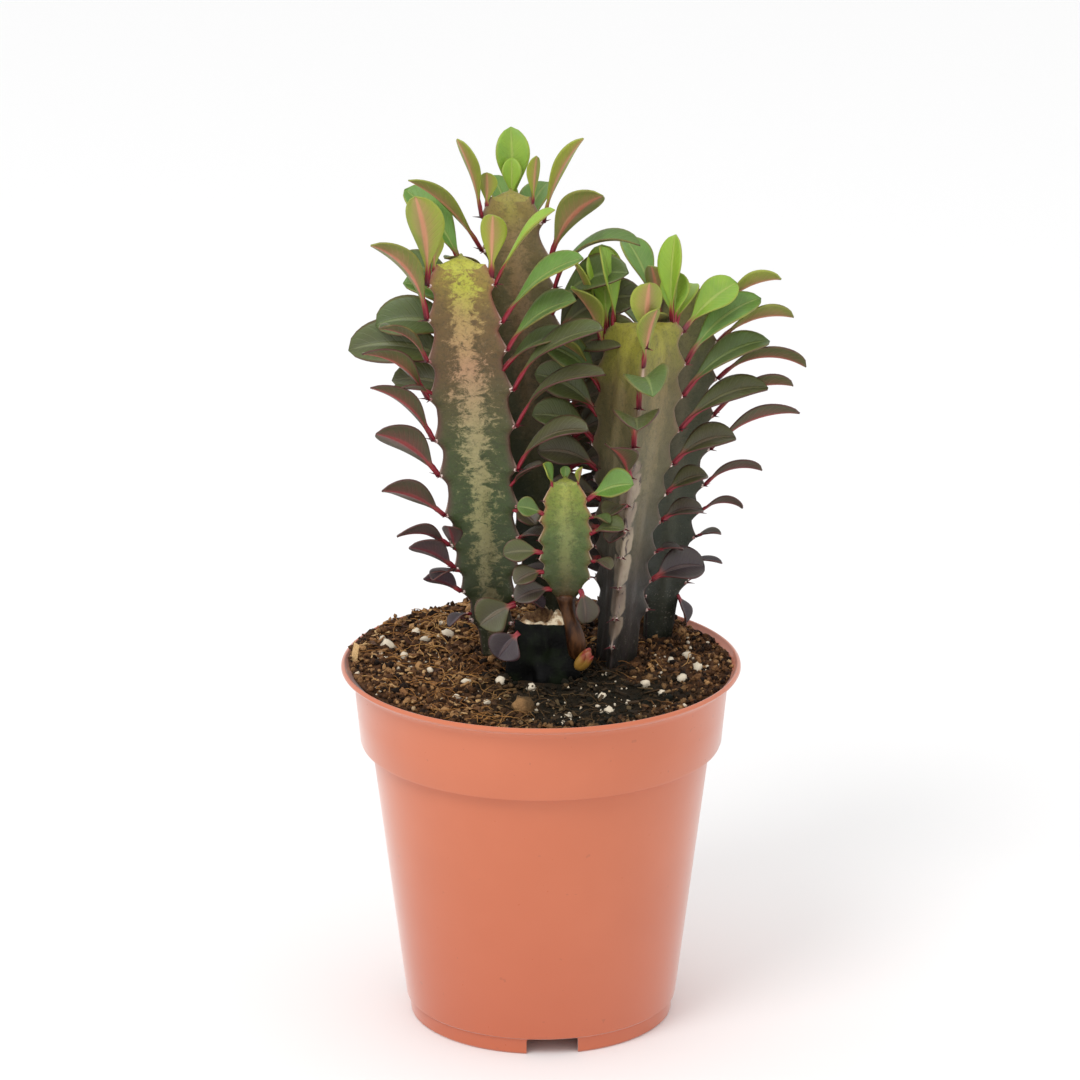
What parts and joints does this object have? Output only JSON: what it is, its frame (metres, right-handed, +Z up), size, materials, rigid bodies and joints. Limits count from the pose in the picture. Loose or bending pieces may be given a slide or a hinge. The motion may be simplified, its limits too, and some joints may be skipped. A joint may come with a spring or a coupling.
{
  "type": "potted euphorbia",
  "caption": "Young euphorbia with upright three-ribbed stems and small curved leaves on their ribs, in a plain round nursery pot of potting mix.",
  "frame": {"origin": "middle of the whole object's footprint, on the surface that the pot stands on", "axes": "+Z up, +X to the right and +Y away from the front"},
  "size_m": [0.1405, 0.12, 0.2698],
  "materials": {
    "pot_plastic": "terracotta-coloured moulded plastic, satin",
    "potting_mix": "peat and coir with bark chips and white perlite grains, matt",
    "stem": "waxy olive green, mottled with cream along the middle of each face",
    "stump": "dark green-black old skin, dried tan cut face",
    "bud": "waxy orange-yellow",
    "young_leaf": "satin yellow-green, pink along the midrib below",
    "leaf": "satin green above, olive brown with a red midrib below",
    "old_leaf": "satin dark purple grey"
  },
  "bodies": {
    "root": {"nursery_pot": "pot_plastic", "potting_mix": "potting_mix", "cut_stump": "stump", "stump_bud": "bud", "left_stem": "stem", "back_stem": "stem", "middle_stem": "stem", "right_stem": "stem", "offshoot": "stem", "back_leaf_a1": "young_leaf", "back_leaf_a2": "young_leaf", "back_leaf_b1": "young_leaf", "back_leaf_b2": "young_leaf", "back_leaf_b3": "leaf", "back_leaf_c1": "young_leaf", "back_leaf_c2": "leaf", "back_leaf_c3": "leaf", "back_leaf_c4": "leaf", "back_leaf_c5": "leaf", "left_leaf_a1": "young_leaf", "left_leaf_a10": "old_leaf", "left_leaf_a2": "young_leaf", "left_leaf_a3": "leaf", "left_leaf_a4": "leaf", "left_leaf_a5": "leaf", "left_leaf_a6": "leaf", "left_leaf_a7": "leaf", "left_leaf_a8": "old_leaf", "left_leaf_a9": "old_leaf", "left_leaf_b1": "young_leaf", "left_leaf_b2": "young_leaf", "left_leaf_b3": "leaf", "left_leaf_b4": "leaf", "left_leaf_b5": "leaf", "left_leaf_b6": "leaf", "left_leaf_c1": "young_leaf", "left_leaf_c2": "leaf", "left_leaf_c3": "leaf", "middle_leaf_a1": "young_leaf", "middle_leaf_a2": "leaf", "middle_leaf_a3": "leaf", "middle_leaf_a4": "leaf", "middle_leaf_b1": "young_leaf", "middle_leaf_b2": "leaf", "middle_leaf_b3": "leaf", "middle_leaf_b4": "leaf", "middle_leaf_b5": "leaf", "middle_leaf_b6": "leaf", "middle_leaf_b7": "old_leaf", "middle_leaf_c1": "young_leaf", "middle_leaf_c2": "leaf", "right_leaf_a1": "young_leaf", "right_leaf_a2": "leaf", "right_leaf_a3": "leaf", "right_leaf_a4": "leaf", "right_leaf_a5": "leaf", "right_leaf_a6": "old_leaf", "right_leaf_b1": "young_leaf", "right_leaf_b2": "leaf", "right_leaf_b3": "leaf"}
  },
  "joints": []
}
